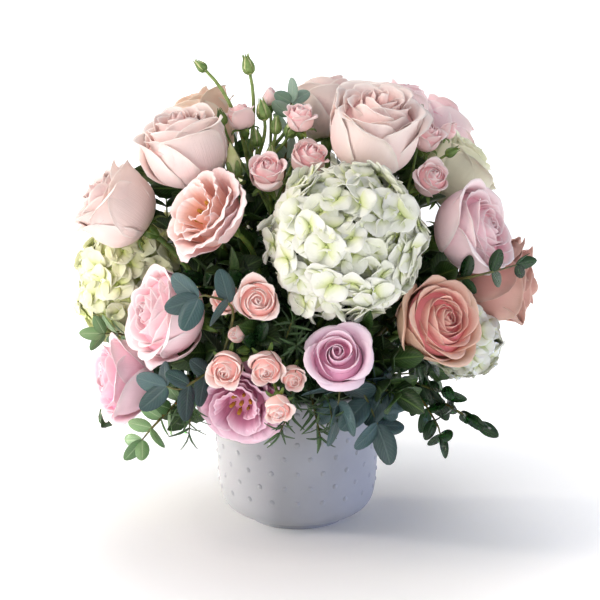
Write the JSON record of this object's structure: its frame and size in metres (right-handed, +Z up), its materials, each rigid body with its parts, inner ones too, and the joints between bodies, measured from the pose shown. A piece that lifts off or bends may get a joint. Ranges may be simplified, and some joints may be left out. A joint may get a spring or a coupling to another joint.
{
  "type": "floral table centrepiece",
  "caption": "Round table centrepiece of pink roses, white hydrangeas, lisianthus, spray roses and green foliage, standing in wet floral foam in a white dimpled ceramic vase.",
  "frame": {"origin": "middle of the vase's foot, on the surface that it stands on", "axes": "+Z up the vase, -Y towards the front of the arrangement, +X to its right as seen from the front"},
  "size_m": [0.3483, 0.3133, 0.3548],
  "materials": {
    "white_ceramic": "satin",
    "wet_foam": "matte",
    "green_stem": "satin",
    "rose_blush": "matte",
    "rose_peach": "matte",
    "rose_pink": "matte",
    "rose_coral": "matte",
    "rose_lilac": "matte",
    "rose_green_white": "matte",
    "hydrangea_petal": "matte",
    "lisianthus_peach": "matte",
    "lisianthus_mauve": "matte",
    "spray_rose": "matte",
    "eucalyptus_leaf": "satin",
    "ruscus_leaf": "satin"
  },
  "bodies": {
    "root": {"eucalyptus_back": "eucalyptus_leaf", "eucalyptus_left": "eucalyptus_leaf", "eucalyptus_low": "eucalyptus_leaf", "eucalyptus_top": "eucalyptus_leaf", "floral_foam": "wet_foam", "hydrangea_01_head": "hydrangea_petal", "hydrangea_01_stem": "green_stem", "hydrangea_02_head": "hydrangea_petal", "hydrangea_02_stem": "green_stem", "hydrangea_03_head": "hydrangea_petal", "hydrangea_03_stem": "green_stem", "hydrangea_04_head": "hydrangea_petal", "hydrangea_04_stem": "green_stem", "lisianthus_01_bloom": "lisianthus_peach", "lisianthus_01_stem": "green_stem", "lisianthus_02_bloom": "lisianthus_mauve", "lisianthus_02_stem": "green_stem", "lisianthus_buds": "green_stem", "rose_01_bloom": "rose_blush", "rose_01_stem": "green_stem", "rose_02_bloom": "rose_peach", "rose_02_stem": "green_stem", "rose_03_bloom": "rose_blush", "rose_03_stem": "green_stem", "rose_04_bloom": "rose_pink", "rose_04_stem": "green_stem", "rose_05_bloom": "rose_pink", "rose_05_stem": "green_stem", "rose_06_bloom": "rose_blush", "rose_06_stem": "green_stem", "rose_07_bloom": "rose_blush", "rose_07_stem": "green_stem", "rose_08_bloom": "rose_lilac", "rose_08_stem": "green_stem", "rose_09_bloom": "rose_coral", "rose_09_stem": "green_stem", "rose_10_bloom": "rose_pink", "rose_10_stem": "green_stem", "rose_11_bloom": "rose_blush", "rose_11_stem": "green_stem", "rose_12_bloom": "rose_green_white", "rose_12_stem": "green_stem", "rose_13_bloom": "rose_pink", "rose_13_stem": "green_stem", "rose_14_bloom": "rose_pink", "rose_14_stem": "green_stem", "rose_15_bloom": "rose_blush", "rose_15_stem": "green_stem", "rose_16_bloom": "rose_coral", "rose_16_stem": "green_stem", "ruscus_back": "ruscus_leaf", "ruscus_left": "ruscus_leaf", "ruscus_right": "ruscus_leaf", "ruscus_side": "ruscus_leaf", "spray_rose_01": "spray_rose", "spray_rose_02": "spray_rose", "spray_rose_03": "spray_rose", "spray_rose_04": "spray_rose", "spray_rose_05": "spray_rose", "vase": "white_ceramic"}
  },
  "joints": []
}
